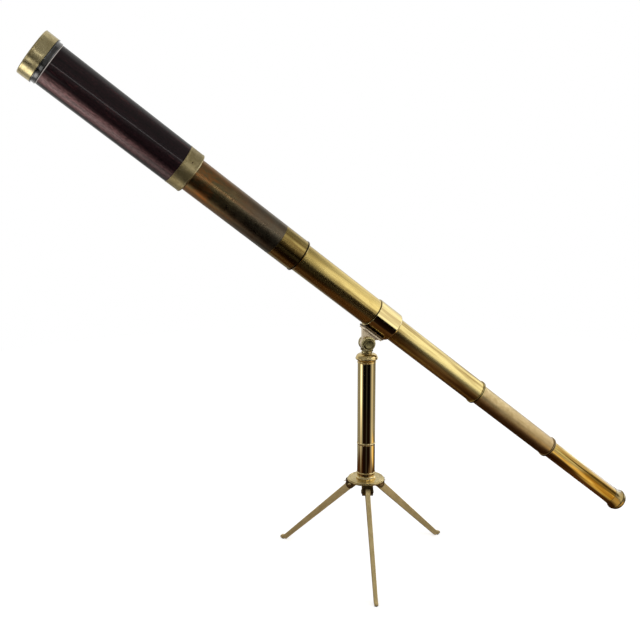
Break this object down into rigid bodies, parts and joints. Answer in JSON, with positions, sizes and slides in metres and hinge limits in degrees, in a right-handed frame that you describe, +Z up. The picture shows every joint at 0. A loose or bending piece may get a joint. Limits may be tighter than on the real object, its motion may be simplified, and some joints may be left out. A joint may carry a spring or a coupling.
{
  "type": "terrestrial telescope",
  "caption": "Brass draw telescope with a wooden barrel, held in a collar on a tilting and swivelling pillar with folding legs.",
  "frame": {"origin": "on the pillar's axis at table level, between the feet", "axes": "+Z up along the pillar, +X towards the eyepiece, with the tube in the XZ plane and its objective up towards -X"},
  "size_m": [0.8952, 0.2435, 0.7343],
  "materials": {
    "bright_brass": "polished, lightly tarnished",
    "satin_brass": "satin",
    "tan_brass": "worn satin",
    "aged_brass": "dark patina",
    "olive_brass": "dull satin",
    "dark_steel": "blackened",
    "rosewood": "polished",
    "black_lacquer": "gloss",
    "foot_rubber": "matte",
    "glass": "clear"
  },
  "bodies": {
    "stand": {"pillar_cap": "bright_brass", "pillar_upper_tube": "bright_brass", "pillar_joint_ring": "bright_brass", "pillar_lower_tube": "bright_brass", "pillar_foot": "bright_brass", "pillar_screw": "satin_brass", "tripod_disc": "satin_brass", "leg_fork_right": "satin_brass", "leg_fork_left": "satin_brass", "leg_fork_front": "satin_brass", "leg_pins": "satin_brass", "swivel_washer": "dark_steel"},
    "right_leg": {"leg_right": "olive_brass", "foot_stud_right": "foot_rubber"},
    "left_leg": {"leg_left": "olive_brass", "foot_stud_left": "foot_rubber"},
    "front_leg": {"leg_front": "olive_brass", "foot_stud_front": "foot_rubber"},
    "swivel_head": {"knuckle_fork": "olive_brass", "swivel_nut": "dark_steel", "pivot_screw": "olive_brass", "pivot_nut": "olive_brass"},
    "tilt_mount": {"tilt_tongue": "olive_brass", "mount_collar": "bright_brass", "collar_screws": "satin_brass", "draw_2_tube": "bright_brass", "draw_2_guide": "satin_brass", "draw_2_stop": "satin_brass"},
    "first_draw": {"draw_1_tube": "aged_brass", "draw_1_ferrule": "bright_brass", "draw_1_stop": "satin_brass"},
    "barrel": {"barrel_wood": "rosewood", "barrel_tube": "aged_brass", "barrel_front_ring": "black_lacquer", "barrel_collar": "satin_brass", "barrel_guide": "satin_brass", "barrel_pins": "satin_brass", "objective_rim": "satin_brass", "objective_cell": "aged_brass", "crown_lens": "glass", "flint_lens": "glass", "lens_ring": "aged_brass"},
    "third_draw": {"draw_3_tube": "bright_brass", "draw_3_ferrule": "bright_brass", "draw_3_stop": "satin_brass"},
    "fourth_draw": {"draw_4_tube": "tan_brass", "draw_4_ferrule": "tan_brass", "draw_4_stop": "satin_brass"},
    "fifth_draw": {"draw_5_tube": "bright_brass", "draw_5_stop": "satin_brass", "erector_tube": "aged_brass", "erector_front_lens": "glass", "erector_rear_lens": "glass", "eyepiece_bell": "bright_brass", "eyepiece_tube": "aged_brass", "field_lens": "glass", "eye_lens": "glass"}
  },
  "joints": [
    {"name": "right_leg_fold", "type": "hinge", "parent": "stand", "child": "right_leg", "pos_m": [0.02169, 0.00598, 0.1128], "axis": [-0.2656, 0.9641, 0], "range_deg": [0, 46.1]},
    {"name": "left_leg_fold", "type": "hinge", "parent": "stand", "child": "left_leg", "pos_m": [-0.01602, 0.0158, 0.1128], "axis": [-0.7022, -0.712, 0], "range_deg": [0, 46.1]},
    {"name": "front_leg_fold", "type": "hinge", "parent": "stand", "child": "front_leg", "pos_m": [-0.00567, -0.02177, 0.1128], "axis": [0.9677, -0.2521, 0], "range_deg": [0, 46.1]},
    {"name": "head_swivel", "type": "hinge", "parent": "stand", "child": "swivel_head", "pos_m": [0, 0, 0.3136], "axis": [0, 0, 1], "continuous": true},
    {"name": "tube_tilt", "type": "hinge", "parent": "swivel_head", "child": "tilt_mount", "pos_m": [0, 0, 0.3268], "axis": [0, 1, 0], "range_deg": [-63.1, 26.9]},
    {"name": "first_draw_slide", "type": "slide", "parent": "tilt_mount", "child": "first_draw", "axis": [0.7869, 0, -0.617], "range_m": [0, 0.1344]},
    {"name": "barrel_slide", "type": "slide", "parent": "first_draw", "child": "barrel", "axis": [0.7869, 0, -0.617], "range_m": [0, 0.1776]},
    {"name": "third_draw_slide", "type": "slide", "parent": "tilt_mount", "child": "third_draw", "axis": [-0.7869, 0, 0.617], "range_m": [0, 0.1707]},
    {"name": "fourth_draw_slide", "type": "slide", "parent": "third_draw", "child": "fourth_draw", "axis": [-0.7869, 0, 0.617], "range_m": [0, 0.1579]},
    {"name": "focus_slide", "type": "slide", "parent": "fourth_draw", "child": "fifth_draw", "axis": [-0.7869, 0, 0.617], "range_m": [0, 0.1511]}
  ]
}
